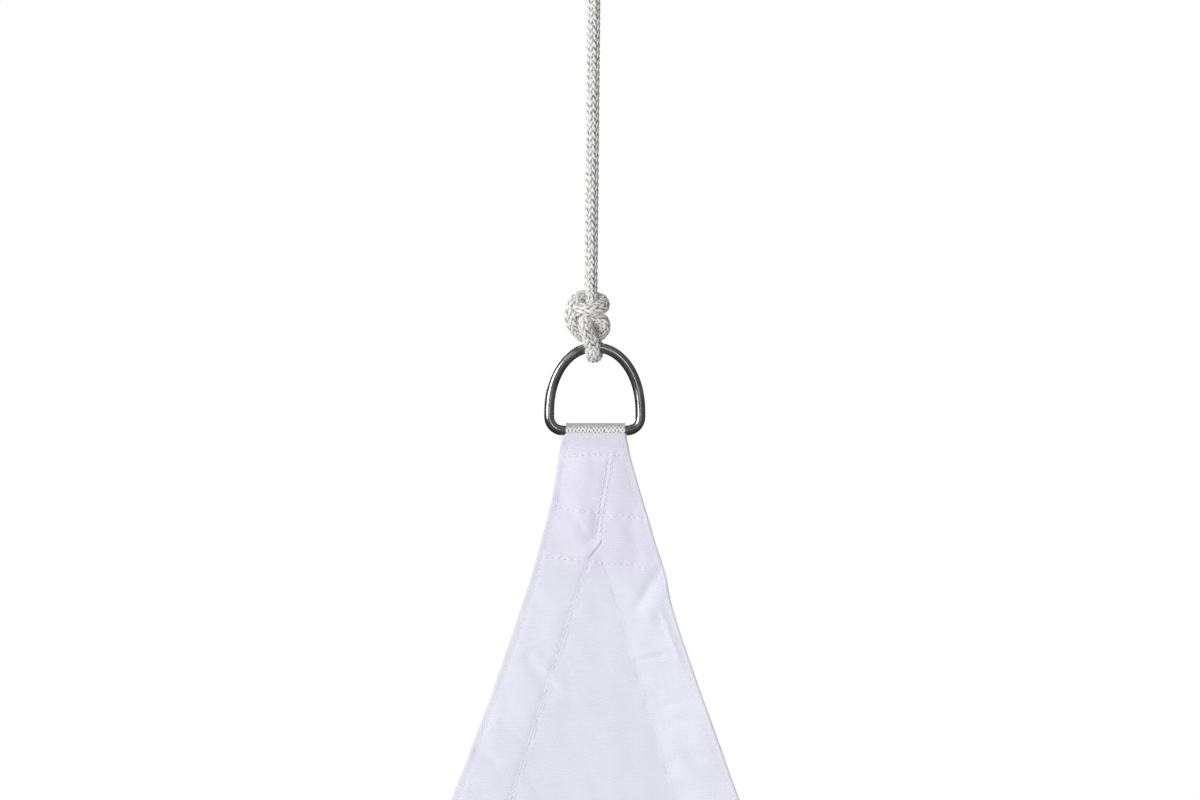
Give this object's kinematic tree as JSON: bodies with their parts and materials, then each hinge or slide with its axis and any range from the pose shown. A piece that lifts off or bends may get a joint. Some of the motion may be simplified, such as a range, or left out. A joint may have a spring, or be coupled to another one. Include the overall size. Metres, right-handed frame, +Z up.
{
  "type": "triangular shade sail",
  "caption": "Triangular cloth shade sail with curved-in hemmed sides, a webbing loop and steel D-ring at each corner, hung from a knotted braided rope.",
  "frame": {"origin": "inside of the top of the rope's end eye, where a hook would hold it", "axes": "+Z up along the rope, +X to the right across the sail, and the folded hems face -Y"},
  "size_m": [2.074, 0.0337, 2.04],
  "materials": {
    "sail_cloth": "lilac white polyester cloth, woven, matt",
    "webbing": "white polyester webbing, woven",
    "ring_steel": "polished steel wire",
    "rope": "white braided rope, slightly shiny"
  },
  "bodies": {
    "root": {"sail_cloth": "sail_cloth", "corner_loop_top": "webbing", "corner_loop_left": "webbing", "corner_loop_right": "webbing", "d_ring_top": "ring_steel", "d_ring_left": "ring_steel", "d_ring_right": "ring_steel", "ring_knot": "rope", "rope": "rope", "end_knot": "rope"}
  },
  "joints": []
}
